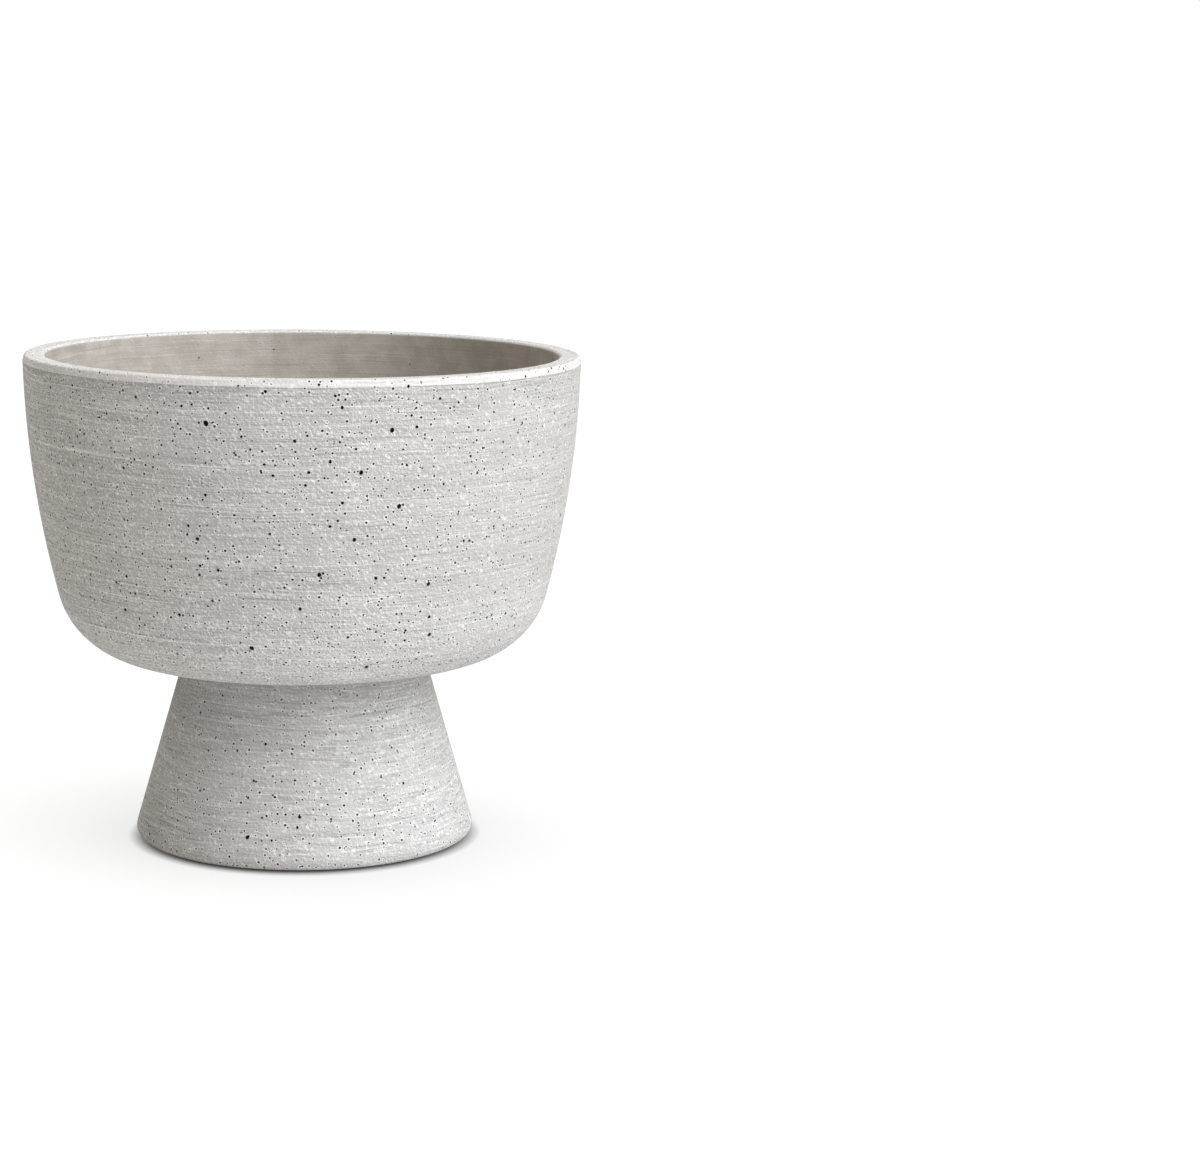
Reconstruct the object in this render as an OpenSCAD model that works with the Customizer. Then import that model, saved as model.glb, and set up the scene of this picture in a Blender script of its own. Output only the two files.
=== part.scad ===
// Concrete planter bowl on a hollow conical pedestal.
// Both are cast. The bowl sits on a thin bed of mortar and is held by bolts that go in from inside the pedestal.
// Millimetres. Ground at z = 0, vertical axis of symmetry on z, origin at the centre of the footprint.

/* [Whole planter] */
// Outer diameter of the rim
rim_d = 400; // [370:1:480]
// Height from the ground to the rim
overall_h = 355; // [320:1:420]

/* [Bowl] */
// Height of the bowl from its flat underside to the rim
bowl_h = 220; // [180:1:240]
// Thickness of the wall
wall = 16; // [12:0.5:24]
// Thickness of the floor above the flat underside
floor_t = 26; // [22:0.5:40]
// Radius of the side's slow curve, seen from the side
side_r = 740; // [600:5:1200]
// Lean of the side at the rim, in degrees from upright
side_lean = 0.8; // [0:0.1:4]
// Radius of the outer lower corner
corner_r = 62; // [40:1:80]
// Radius of the cove between the inner wall and the floor
cove_r = 12; // [6:1:30]
// Rounding of the rim's outer edge
rim_outer_round = 1.5; // [0.5:0.1:4]
// Rounding of the rim's inner edge
rim_inner_round = 2.6; // [0.5:0.1:5]

/* [Pedestal] */
// Diameter of the cone at the bottom plane, before its edge is rounded
foot_d = 251; // [230:1:300]
// Diameter of the cone at its top
neck_d = 176; // [150:1:190]
// Rounding of the foot's outer edge
foot_round = 7; // [2:0.5:10]
// Rounding of the neck's edge
neck_round = 2; // [0.5:0.5:4]
// Wall of the hollow cone, measured level
pedestal_wall = 25.5; // [22:0.5:32]
// Thickness of the top plate that the bolts clamp
plate_t = 22; // [16:0.5:30]
// Rounding where the hollow meets the top plate
core_round = 10; // [4:1:20]

/* [Joint between bowl and pedestal] */
// Thickness of the mortar bed
bed_t = 3; // [2:0.5:5]
// How far the bed's edge lies inside the neck's edge
bed_inset = 4; // [2.5:0.5:10]
// Diameter of the locating spigot on the pedestal
spigot_d = 110; // [100:1:130]
// Height of the spigot, which is also the depth of the bowl's socket
spigot_h = 5; // [3:0.5:7]
// Number of bolts
bolt_n = 3; // [3:1:4]
// Diameter of the circle that the bolts stand on
bolt_pcd = 76; // [64:1:84]
// Clearance hole for a bolt in the plate and the bed
bolt_hole_d = 10; // [9:0.5:12]

/* [Bolts and washers] */
// Thread diameter of a bolt
bolt_d = 8; // [6:0.5:8]
// Length of thread held in a socket
thread_held = 11; // [8:0.5:12]
// Width across the flats of a bolt's head
head_af = 13; // [13:0.5:14]
// Height of a bolt's head
head_h = 5.3; // [4:0.1:7]
// Diameter of the flat end of a bolt's head, inside its chamfer
head_flat_d = 12.6; // [11:0.1:12.9]
// Chamfer on the tip of a bolt
tip_chamfer = 0.8; // [0.4:0.1:1.2]
// Diameter of a flat washer
flat_washer_d = 24; // [20:0.5:26]
// Thickness of a flat washer
flat_washer_t = 2; // [1.5:0.1:3]
// Diameter of a spring washer
spring_washer_d = 14.8; // [14:0.1:16]
// Thickness of a spring washer, pressed flat
spring_washer_t = 2; // [1.6:0.1:2.5]
// Clearance of a washer's hole round the thread
washer_clear = 0.2; // [0.1:0.05:0.4]
// Width of the split in a spring washer
split_w = 1.2; // [0.6:0.1:2]

/* [Threaded sockets] */
// Outer diameter of a socket
insert_d = 13; // [12:0.5:16]
// Length of a socket
insert_len = 15; // [13:0.5:16]
// Thickness of a socket's closed end
insert_end = 2; // [1:0.1:2.5]
// Depth of the two grooves that lock a socket in the concrete
groove_depth = 1; // [0.4:0.1:1.2]
// Height of a groove
groove_h = 2.5; // [1.5:0.1:3]

/* [Foot pads] */
// Number of pads
pad_n = 4; // [3:1:8]
// Diameter of a pad
pad_d = 14; // [8:0.5:15]
// Thickness of a pad, which is the gap under the foot
pad_t = 1.2; // [0.8:0.1:3]

/* [Hidden] */
rim_r = rim_d / 2;
foot_z = pad_t;
under_z = overall_h - bowl_h;
neck_z = under_z - bed_t;
spigot_z = neck_z + spigot_h;
socket_z = under_z + spigot_h;
floor_z = under_z + floor_t;
plate_z = neck_z - plate_t;

// Side of the bowl: one arc for the outside, and one about the same centre, a wall's thickness smaller, inside
side_c = [rim_r - side_r * cos(side_lean), overall_h + side_r * sin(side_lean)];
inside_r = side_r - wall;

// Centres of the small arcs that end the two sides, and the directions in which they meet
corner_c = within(side_c, side_r - corner_r, under_z + corner_r);
lip_c = within(side_c, side_r - rim_outer_round, overall_h - rim_outer_round);
bead_c = within(side_c, inside_r + rim_inner_round, overall_h - rim_inner_round);
cove_c = within(side_c, inside_r - cove_r, floor_z + cove_r);
corner_a = direction(side_c, corner_c);
lip_a = direction(side_c, lip_c);
bead_a = direction(side_c, bead_c);
cove_a = direction(side_c, cove_c);

// Pedestal: lean of the cone, and the centres of its rounded edges
foot_r = foot_d / 2;
neck_r = neck_d / 2;
cone_lean = atan((foot_r - neck_r) / (neck_z - foot_z));
contact_r = foot_r - foot_round / tan((90 - cone_lean) / 2);
core_foot_r = foot_r - pedestal_wall;
core_top_r = core_foot_r - (plate_z - foot_z) * tan(cone_lean);
foot_c = [contact_r, foot_z + foot_round];
shoulder_c = [neck_r - neck_round * tan((90 - cone_lean) / 2), neck_z - neck_round];
core_c = [core_top_r - core_round * tan((90 - cone_lean) / 2), plate_z - core_round];

spigot_r = spigot_d / 2;
socket_r = spigot_r + bed_t;
bed_r = neck_r - bed_inset;
washer_hole_d = bolt_d + 2 * washer_clear;
seat_z = plate_z - flat_washer_t;
head_z = seat_z - spring_washer_t;
bolt_len = socket_z + thread_held - head_z;
pad_ring_r = (core_foot_r + contact_r) / 2;
first_bolt_a = 90;
first_pad_a = 45;
hex_sides = 6;
hex_corner_d = head_af / cos(180 / hex_sides);
head_chamfer_a = 30;

// How far a cut runs past what it cuts, how far an arc's points may stray from it, and the fineness of circles
over = 1;
arc_error = 0.03;
round_fn = 180;
small_fn = 96;

function names(stem, n) = [for (i = [1:n]) str(stem, i)];
// Point at height z whose distance from c is r, on the side away from the axis
function within(c, r, z) = [c.x + sqrt(r * r - (z - c.y) * (z - c.y)), z];
// Direction of p as seen from c, in degrees
function direction(c, p) = atan2(p.y - c.y, p.x - c.x);
// Points along an arc about c from angle a to angle b, with or without the two ends
function arc(c, r, a, b, ends = true) =
    let (n = max(2, ceil(abs(b - a) / (2 * acos(1 - arc_error / r)))))
    [for (i = ends ? [0:n] : [1:n - 1]) c + r * [cos(a + (b - a) * i / n), sin(a + (b - a) * i / n)]];
function bolt_angle(i) = first_bolt_a + i * 360 / bolt_n;
function pad_angle(i) = first_pad_a + i * 360 / pad_n;

// Right half of the bowl's section: underside, side and rim outside, then rim, wall and floor inside
module bowl_section() {
    polygon(concat(
        [[0, socket_z], [socket_r, socket_z], [socket_r, under_z]],
        arc(corner_c, corner_r, -90, corner_a),
        arc(side_c, side_r, corner_a, lip_a, ends = false),
        arc(lip_c, rim_outer_round, lip_a, 90),
        arc(bead_c, rim_inner_round, 90, bead_a + 180),
        arc(side_c, inside_r, bead_a, cove_a, ends = false),
        arc(cove_c, cove_r, cove_a, -90),
        [[0, floor_z]]));
}

module bowl() {
    color([0.78, 0.77, 0.75])
    difference() {
        rotate_extrude($fn = round_fn) bowl_section();
        for (i = [0:bolt_n - 1]) at_bolt(i, socket_z) insert_body();
    }
}

// Right half of the pedestal's section: spigot, neck, cone and foot outside, then the hollow inside
module pedestal_section() {
    polygon(concat(
        [[0, spigot_z], [spigot_r, spigot_z], [spigot_r, neck_z]],
        arc(shoulder_c, neck_round, 90, cone_lean),
        arc(foot_c, foot_round, cone_lean, -90),
        [[core_foot_r, foot_z]],
        arc(core_c, core_round, cone_lean, 90),
        [[0, plate_z]]));
}

module pedestal() {
    color([0.73, 0.73, 0.72])
    difference() {
        rotate_extrude($fn = round_fn) pedestal_section();
        bolt_holes(plate_z, spigot_z);
    }
}

module bedding() {
    color([0.55, 0.55, 0.54])
    difference() {
        rotate_extrude($fn = round_fn) polygon([[0, spigot_z], [spigot_r, spigot_z], [spigot_r, neck_z],
            [bed_r, neck_z], [bed_r, under_z], [socket_r, under_z], [socket_r, socket_z], [0, socket_z]]);
        bolt_holes(spigot_z, socket_z);
    }
}

module bolt_holes(z_low, z_high) {
    for (i = [0:bolt_n - 1]) at_bolt(i, z_low - over)
        cylinder(d = bolt_hole_d, h = z_high - z_low + 2 * over, $fn = small_fn);
}

module at_bolt(i, z) {
    rotate([0, 0, bolt_angle(i)]) translate([bolt_pcd / 2, 0, z]) children();
}

// Outer shape of a threaded socket, with two locking grooves
module insert_body() {
    r = insert_d / 2;
    land = (insert_len - 2 * groove_h) / 3;
    difference() {
        cylinder(r = r, h = insert_len, $fn = small_fn);
        for (k = [1:2]) translate([0, 0, k * land + (k - 1) * groove_h]) difference() {
            cylinder(r = r + over, h = groove_h, $fn = small_fn);
            cylinder(r = r - groove_depth, h = groove_h, $fn = small_fn);
        }
    }
}

module insert(i) {
    color([0.72, 0.62, 0.36])
    at_bolt(i, socket_z) difference() {
        insert_body();
        translate([0, 0, -over]) cylinder(d = bolt_d, h = insert_len - insert_end + over, $fn = small_fn);
    }
}

module bolt(i) {
    color([0.66, 0.67, 0.69])
    at_bolt(i, head_z) {
        cylinder(d = bolt_d, h = bolt_len - tip_chamfer, $fn = small_fn);
        translate([0, 0, bolt_len - tip_chamfer])
            cylinder(d1 = bolt_d, d2 = bolt_d - 2 * tip_chamfer, h = tip_chamfer, $fn = small_fn);
        translate([0, 0, -head_h]) intersection() {
            cylinder(d = hex_corner_d, h = head_h, $fn = hex_sides);
            cylinder(d1 = head_flat_d, d2 = head_flat_d + 2 * head_h / tan(head_chamfer_a), h = head_h,
                $fn = small_fn);
        }
    }
}

module flat_washer(i) {
    color([0.70, 0.71, 0.72])
    at_bolt(i, seat_z) difference() {
        cylinder(d = flat_washer_d, h = flat_washer_t, $fn = small_fn);
        translate([0, 0, -over]) cylinder(d = washer_hole_d, h = flat_washer_t + 2 * over, $fn = small_fn);
    }
}

module spring_washer(i) {
    color([0.60, 0.61, 0.62])
    at_bolt(i, head_z) difference() {
        cylinder(d = spring_washer_d, h = spring_washer_t, $fn = small_fn);
        translate([0, 0, -over]) cylinder(d = washer_hole_d, h = spring_washer_t + 2 * over, $fn = small_fn);
        translate([0, -split_w / 2, -over]) cube([spring_washer_d, split_w, spring_washer_t + 2 * over]);
    }
}

module foot_pad(i) {
    color([0.12, 0.12, 0.12])
    rotate([0, 0, pad_angle(i)]) translate([pad_ring_r, 0, 0]) cylinder(d = pad_d, h = pad_t, $fn = small_fn);
}

bowl();
pedestal();
bedding();
for (i = [0:bolt_n - 1]) {
    insert(i);
    bolt(i);
    flat_washer(i);
    spring_washer(i);
}
for (i = [0:pad_n - 1])
    foot_pad(i);
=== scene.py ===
from math import atan, atan2, ceil, cos, hypot, pi, radians, sin, sqrt, tan

import bpy
from mathutils import Matrix, Vector


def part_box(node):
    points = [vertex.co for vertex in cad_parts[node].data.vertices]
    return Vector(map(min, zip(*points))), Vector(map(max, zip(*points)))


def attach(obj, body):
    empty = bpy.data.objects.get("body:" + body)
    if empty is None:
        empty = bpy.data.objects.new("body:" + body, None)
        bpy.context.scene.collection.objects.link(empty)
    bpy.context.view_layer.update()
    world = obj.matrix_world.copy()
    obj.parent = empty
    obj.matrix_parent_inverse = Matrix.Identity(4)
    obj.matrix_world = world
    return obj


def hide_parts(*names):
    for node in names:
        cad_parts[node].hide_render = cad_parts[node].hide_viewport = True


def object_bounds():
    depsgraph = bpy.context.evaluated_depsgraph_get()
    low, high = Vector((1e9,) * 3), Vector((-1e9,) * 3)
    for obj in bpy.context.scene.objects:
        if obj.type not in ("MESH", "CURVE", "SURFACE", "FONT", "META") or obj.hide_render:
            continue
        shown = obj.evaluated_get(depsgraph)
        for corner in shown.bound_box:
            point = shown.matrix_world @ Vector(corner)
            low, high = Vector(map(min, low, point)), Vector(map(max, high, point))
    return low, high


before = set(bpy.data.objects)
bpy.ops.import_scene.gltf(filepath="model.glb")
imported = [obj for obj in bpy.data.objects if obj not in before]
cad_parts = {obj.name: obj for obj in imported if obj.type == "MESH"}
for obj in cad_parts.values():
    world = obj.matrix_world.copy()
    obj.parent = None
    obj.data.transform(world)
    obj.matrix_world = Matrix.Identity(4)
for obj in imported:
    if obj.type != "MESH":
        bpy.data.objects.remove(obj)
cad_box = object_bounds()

# Camera
# It stands 2.2 m in front of the planter's axis and 20 cm higher than the rim. It is turned aside after it
# is aimed, so that the planter lies in the left half of the picture.
IMAGE_W, IMAGE_H = 1200, 1165
FOCAL_PX = 3038.0
AXIS_PX = (304.7, 593.9)
CAMERA_DISTANCE = 2.2
CAMERA_HEIGHT = 0.557
CAMERA_ROLL = -0.003
SENSOR_W = 36.0
camera_data = bpy.data.cameras.new("camera")
camera_data.sensor_fit = "HORIZONTAL"
camera_data.sensor_width = SENSOR_W
camera_data.lens = FOCAL_PX / IMAGE_W * SENSOR_W
camera = bpy.data.objects.new("camera", camera_data)
camera_place = Vector((0, -CAMERA_DISTANCE, CAMERA_HEIGHT))
aimed_at = Vector((0, 0, (cad_box[0][2] + cad_box[1][2]) / 2))
aim = (aimed_at - camera_place).to_track_quat("-Z", "Y").to_matrix()
pan = Matrix.Rotation(atan((AXIS_PX[0] - IMAGE_W / 2) / FOCAL_PX), 3, "Y")
tilt = Matrix.Rotation(atan((AXIS_PX[1] - IMAGE_H / 2) / FOCAL_PX), 3, "X")
roll = Matrix.Rotation(CAMERA_ROLL, 3, "Z")
camera.matrix_world = Matrix.Translation(camera_place) @ (aim @ pan @ tilt @ roll).to_4x4()
bpy.context.scene.collection.objects.link(camera)
bpy.context.scene.camera = camera
bpy.context.scene.view_settings.view_transform = "Standard"

# Ground
# White studio paper that glows, with a little real light on it. Its glow is painted dimmer close round the
# foot as painted shade, and so bright further out that a shadow shows only close round the foot and is
# gone a hand's width away. It is painted darker still in the narrow gap under the foot.
GROUND_SIZE = 30.0
GROUND_DROP = 0.00002
GAP_REACH = 0.009
SHADE_REACH = 0.14
SHADE_DEPTH = 0.26
SHADE_SAMPLES = 16
NEAR_GLOW = 0.865
FAR_GLOW = 0.95
FAR_FROM, FAR_TO = 0.12, 0.32
SHADED_WHITE = 0.15
BOUNCE_WARM = (0.82, 0.78, 0.74)


class Shade:
    """An output of a node. Arithmetic on it adds Math nodes to the same tree."""

    def __init__(self, tree, socket=None):
        self.tree = tree
        self.socket = socket

    def node(self, kind, settings=None, sockets=None, out=0):
        """Adds a node: its settings first, then its sockets by name or number. Gives one of its outputs."""
        made = self.tree.nodes.new(kind)
        for name, value in (settings or {}).items():
            setattr(made, name, value)
        for name, value in (sockets or {}).items():
            if isinstance(value, Shade):
                self.tree.links.new(value.socket, made.inputs[name])
            else:
                made.inputs[name].default_value = value
        return Shade(self.tree, made.outputs[out]) if made.outputs else None

    def other(self, name):
        """Another output of the same node."""
        return Shade(self.tree, self.socket.node.outputs[name])

    def math(self, operation, *values):
        """A Math node on this value and others."""
        return self.node("ShaderNodeMath", {"operation": operation}, dict(enumerate((self, *values))))

    def __add__(self, value):
        return self.math("ADD", value)

    def __sub__(self, value):
        return self.math("SUBTRACT", value)

    def __rsub__(self, value):
        return self.node("ShaderNodeMath", {"operation": "SUBTRACT"}, {0: value, 1: self})

    def __mul__(self, value):
        return self.math("MULTIPLY", value)

    def __truediv__(self, value):
        return self.math("DIVIDE", value)

    def __pow__(self, value):
        return self.math("POWER", value)

    def __lt__(self, value):
        return self.math("LESS_THAN", value)

    def __gt__(self, value):
        return self.math("GREATER_THAN", value)

    __radd__, __rmul__ = __add__, __mul__

    def rise(self, low, high):
        """0 below low and 1 above high, smooth between. With low above high it falls from 1 to 0."""
        ends = {"Value": self, "From Min": low, "From Max": high}
        return self.node("ShaderNodeMapRange", {"interpolation_type": "SMOOTHSTEP"}, ends)

    def mix(self, first, second):
        """Blends two colours: all of the first where this is 0, and all of the second where it is 1."""
        return self.node("ShaderNodeMix", {"data_type": "RGBA"}, {0: self, 6: first, 7: second}, out=2)


def open_tree(owner):
    """Empties the node tree of a material or world and gives a shade to build on."""
    owner.use_nodes = True
    owner.node_tree.nodes.clear()
    return Shade(owner.node_tree)


def seen_directly(shade):
    """1 for what the camera, a mirror or clear glass sees, and 0 for light on its way to the object."""
    camera_ray = shade.node("ShaderNodeLightPath", out="Is Camera Ray")
    seen = camera_ray.math("MAXIMUM", camera_ray.other("Is Glossy Ray"))
    return seen.math("MAXIMUM", camera_ray.other("Is Transmission Ray"))


def grey(level):
    return (level, level, level, 1.0)


def openness(shade, reach):
    """1 on open ground, and less where something stands or hangs within reach."""
    settings, sockets = {"samples": SHADE_SAMPLES}, {"Distance": reach}
    return shade.node("ShaderNodeAmbientOcclusion", settings, sockets, out="AO")


side = GROUND_SIZE / 2
ground_mesh = bpy.data.meshes.new("ground")
ground_corners = [(-side, -side, 0), (side, -side, 0), (side, side, 0), (-side, side, 0)]
ground_mesh.from_pydata(ground_corners, [], [(0, 1, 2, 3)])
ground = bpy.data.objects.new("ground", ground_mesh)
ground.location.z = cad_box[0][2] - GROUND_DROP
bpy.context.scene.collection.objects.link(ground)
paper = bpy.data.materials.new("white_paper")
shade = open_tree(paper)
ground_place = shade.node("ShaderNodeTexCoord", out="Object")
ground_x = shade.node("ShaderNodeSeparateXYZ", None, {0: ground_place}, out="X")
ground_y = ground_x.other("Y")
from_axis = (ground_x * ground_x + ground_y * ground_y) ** 0.5
# Painted shade: the glow is dimmer near the axis and where something stands or hangs within reach
glow_with_painted_shade = NEAR_GLOW + from_axis.rise(FAR_FROM, FAR_TO) * (FAR_GLOW - NEAR_GLOW)
glow_with_painted_shade = glow_with_painted_shade * openness(shade, GAP_REACH) * (1 - (1 - openness(shade, SHADE_REACH)) * SHADE_DEPTH)
own = shade.node("ShaderNodeEmission", None, {"Color": glow_with_painted_shade, "Strength": 1.0})
lit = shade.node("ShaderNodeBsdfDiffuse", None, {"Color": grey(SHADED_WHITE)})
shown = shade.node("ShaderNodeAddShader", None, {0: own, 1: lit})
bounce = shade.node("ShaderNodeBsdfDiffuse", None, {"Color": (*BOUNCE_WARM, 1.0)})
surface = shade.node("ShaderNodeMixShader", None, {0: seen_directly(shade), 1: bounce, 2: shown})
shade.node("ShaderNodeOutputMaterial", None, {"Surface": surface})
ground_mesh.materials.append(paper)

# Light
# Large soft lamps at the right and the front, a softer one behind, a faint one above, and a dim warm tent
# all round. Each lamp is its name, its direction round the axis from the planter's right and its height in
# degrees, its strength, its spread in degrees and its colour.
COOL_WHITE = (0.98, 0.98, 1.0)
MILD_WHITE = (1.0, 0.92, 0.83)
WARM_WHITE = (1.0, 0.87, 0.75)
TENT = 0.12
LAMPS = (
    ("right", 330, 45, 1.62, 50, COOL_WHITE),
    ("right_low", 330, 15, 0.66, 50, COOL_WHITE),
    ("front", 300, 15, 1.10, 50, COOL_WHITE),
    ("back", 142, 48, 0.75, 60, MILD_WHITE),
    ("top", 60, 75, 0.25, 40, COOL_WHITE),
)
tent = bpy.data.worlds.new("tent")
bpy.context.scene.world = tent
shade = open_tree(tent)
white = shade.node("ShaderNodeBackground", None, {"Color": grey(1.0), "Strength": 1.0})
dim = shade.node("ShaderNodeBackground", None, {"Color": (*WARM_WHITE, 1.0), "Strength": TENT})
surface = shade.node("ShaderNodeMixShader", None, {0: seen_directly(shade), 1: dim, 2: white})
shade.node("ShaderNodeOutputWorld", None, {"Surface": surface})
for name, direction, height, strength, spread, colour in LAMPS:
    lamp_data = bpy.data.lights.new(name, "SUN")
    lamp_data.energy = strength
    lamp_data.angle = radians(spread)
    lamp_data.color = colour
    lamp = bpy.data.objects.new(name, lamp_data)
    turn, lift = radians(direction), radians(height)
    ray = Vector((-cos(turn) * cos(lift), -sin(turn) * cos(lift), -sin(lift)))
    lamp.rotation_mode = "QUATERNION"
    lamp.rotation_quaternion = ray.to_track_quat("-Z", "Y")
    bpy.context.scene.collection.objects.link(lamp)

# Bowl
# A deep bowl of light fibre concrete, cast in one piece with its closed floor, then turned and brushed
# outside. Its underside has a shallow round socket for the pedestal's spigot, and three pockets in which
# threaded sockets are cast.
MM = 0.001
RIM_R = 200 * MM
SIDE_R = 740 * MM
SIDE_LEAN = radians(0.8)
WALL = 16 * MM
FLOOR_T = 26 * MM
CORNER_R = 62 * MM
COVE_R = 12 * MM
LIP_R = 1.5 * MM
BAND_H = 4.9 * MM
BAND_LEAN = radians(14)
BEAD_R = 2.6 * MM
BED_T = 3 * MM
SPIGOT_R = 55 * MM
SPIGOT_H = 5 * MM
TURN_STEPS = 180
ARC_STEPS = 4
CURVE_STEP = 7 * MM
CORNER_STEP = 4 * MM
COVE_STEP = 2 * MM
EDGE_STEP = 0.5 * MM
FLAT_STEP = 12 * MM
WIDE_STEP = 24 * MM
SAME_POINT = 0.005 * MM
UNDER_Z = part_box("bowl")[0][2]
RIM_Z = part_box("bowl")[1][2]
FLOOR_Z = UNDER_Z + FLOOR_T
SOCKET_R = SPIGOT_R + BED_T
SOCKET_Z = UNDER_Z + SPIGOT_H
INSIDE_R = SIDE_R - WALL
SIDE_C = (RIM_R - SIDE_R * cos(SIDE_LEAN), RIM_Z + SIDE_R * sin(SIDE_LEAN))


def within(radius, z):
    """The point at height z that lies a radius from the centre of the side's arc."""
    return (SIDE_C[0] + sqrt(radius ** 2 - (z - SIDE_C[1]) ** 2), z)


def bearing(point):
    """Direction of a point from the centre of the side's arc."""
    return atan2(point[1] - SIDE_C[1], point[0] - SIDE_C[0])


def arc(centre, radius, start, end, step):
    """Points along an arc, about a step apart."""
    count = max(ARC_STEPS, ceil(abs(end - start) * radius / step))
    turns = [start + (end - start) * i / count for i in range(count + 1)]
    return [(centre[0] + radius * cos(t), centre[1] + radius * sin(t)) for t in turns]


def line(start, end, step):
    """Points along a straight line, about a step apart."""
    count = max(1, ceil(hypot(end[0] - start[0], end[1] - start[1]) / step))
    return [tuple(a + (b - a) * i / count for a, b in zip(start, end)) for i in range(count + 1)]


def lathe(name, outline, steps, centre=(0, 0)):
    """A closed solid turned about an upright axis. Its outline runs from axis to axis, solid on its left."""
    points = [outline[0]]
    for point in outline[1:]:
        if hypot(point[0] - points[-1][0], point[1] - points[-1][1]) > SAME_POINT:
            points.append(point)
    rings = points[1:-1]
    turns = [2 * pi * k / steps for k in range(steps)]
    vertices = [(centre[0] + r * cos(t), centre[1] + r * sin(t), z) for r, z in rings for t in turns]
    start_pole, end_pole, last = len(vertices), len(vertices) + 1, (len(rings) - 1) * steps
    vertices += [(*centre, points[0][1]), (*centre, points[-1][1])]
    faces = []
    for k in range(steps):
        after = (k + 1) % steps
        faces.append((start_pole, after, k))
        faces.append((end_pole, last + k, last + after))
        for row in range(0, last, steps):
            faces.append((row + k, row + after, row + steps + after, row + steps + k))
    mesh = bpy.data.meshes.new(name)
    mesh.from_pydata(vertices, [], faces)
    solid = bpy.data.objects.new(name, mesh)
    bpy.context.scene.collection.objects.link(solid)
    return solid


def bake(piece):
    """Turns what a piece's modifiers make into its plain mesh."""
    solid = piece.evaluated_get(bpy.context.evaluated_depsgraph_get())
    mesh = bpy.data.meshes.new_from_object(solid)
    piece.modifiers.clear()
    piece.data = mesh


def cut(piece, cutters):
    """Takes solids out of a piece, and removes them."""
    for cutter in cutters:
        hole = piece.modifiers.new("cut", "BOOLEAN")
        hole.operation = "DIFFERENCE"
        hole.solver = "MANIFOLD"
        hole.object = cutter
    bake(piece)
    for cutter in cutters:
        bpy.data.objects.remove(cutter)


corner_c = within(SIDE_R - CORNER_R, UNDER_Z + CORNER_R)
side_top = within(SIDE_R, RIM_Z - BAND_H - MM)
band_foot = within(SIDE_R, RIM_Z - BAND_H)
band_l = (BAND_H - LIP_R * (1 - sin(BAND_LEAN))) / cos(BAND_LEAN)
band_top = (band_foot[0] - band_l * sin(BAND_LEAN), band_foot[1] + band_l * cos(BAND_LEAN))
lip_c = (band_top[0] - LIP_R * cos(BAND_LEAN), band_top[1] - LIP_R * sin(BAND_LEAN))
bead_c = within(INSIDE_R + BEAD_R, RIM_Z - BEAD_R)
cove_c = within(INSIDE_R - COVE_R, FLOOR_Z + COVE_R)
bowl_outline = (
    line((0, SOCKET_Z), (SOCKET_R, SOCKET_Z), WIDE_STEP)
    + line((SOCKET_R, SOCKET_Z), (SOCKET_R, UNDER_Z), FLAT_STEP)
    + line((SOCKET_R, UNDER_Z), (corner_c[0], UNDER_Z), FLAT_STEP)
    + arc(corner_c, CORNER_R, -pi / 2, bearing(corner_c), CORNER_STEP)
    + arc(SIDE_C, SIDE_R, bearing(corner_c), bearing(side_top), CURVE_STEP)
    + line(band_foot, band_top, MM)
    + arc(lip_c, LIP_R, BAND_LEAN, pi / 2, EDGE_STEP)
    + line((lip_c[0], RIM_Z), (bead_c[0], RIM_Z), 2 * MM)
    + arc(bead_c, BEAD_R, pi / 2, bearing(bead_c) + pi, EDGE_STEP)
    + arc(SIDE_C, INSIDE_R, bearing(bead_c), bearing(cove_c), CURVE_STEP)
    + arc(cove_c, COVE_R, bearing(cove_c), -pi / 2, COVE_STEP)
    + line((cove_c[0], FLOOR_Z), (0, FLOOR_Z), FLAT_STEP)
)
bowl = lathe("planter_bowl", bowl_outline, TURN_STEPS)

# The threaded sockets' pockets, each with the two grooves that lock its socket in the concrete. Whatever
# cuts a hole starts or ends a little outside the concrete.
BOLT_N = 3
BOLT_RING_R = 38 * MM
POCKET_R = 6.5 * MM
POCKET_H = 15 * MM
GROOVE = 1 * MM
GROOVE_H = 2.5 * MM
POCKET_STEPS = 48
OVERCUT = 1 * MM
bolt_places = []
for i in range(BOLT_N):
    turn = pi / 2 + 2 * pi * i / BOLT_N
    bolt_places.append((BOLT_RING_R * cos(turn), BOLT_RING_R * sin(turn)))
land = (POCKET_H - 2 * GROOVE_H) / 3
pocket_outline = [(0, SOCKET_Z - OVERCUT), (POCKET_R, SOCKET_Z - OVERCUT)]
for k in (1, 2):
    low = SOCKET_Z + k * land + (k - 1) * GROOVE_H
    pocket_outline += [(POCKET_R, low), (POCKET_R - GROOVE, low)]
    pocket_outline += [(POCKET_R - GROOVE, low + GROOVE_H), (POCKET_R, low + GROOVE_H)]
pocket_outline += [(POCKET_R, SOCKET_Z + POCKET_H), (0, SOCKET_Z + POCKET_H)]
cut(bowl, [lathe("pocket", pocket_outline, POCKET_STEPS, place) for place in bolt_places])

# Air holes: bubbles in the wet concrete that stayed at the mould's face and opened as small round pits.
# Each pit is most of a ball, whose centre lies below the face by a share of its radius, a little flattened
# or drawn out. An attribute on the faces holds the painted shade in the holes, how dark a point in them is,
# and is 0 on the plain faces.
SUNK = 0.45
ROUNDNESS = (0.82, 1.12)
SPREAD_POWER = 2.2
CLEAR_COSINE = 0.25
INNER_WALL_R = 50 * MM
PIT_FROM = 0.02
PIT_LEAST = 0.03
PIT_FADE = 0.45


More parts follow.
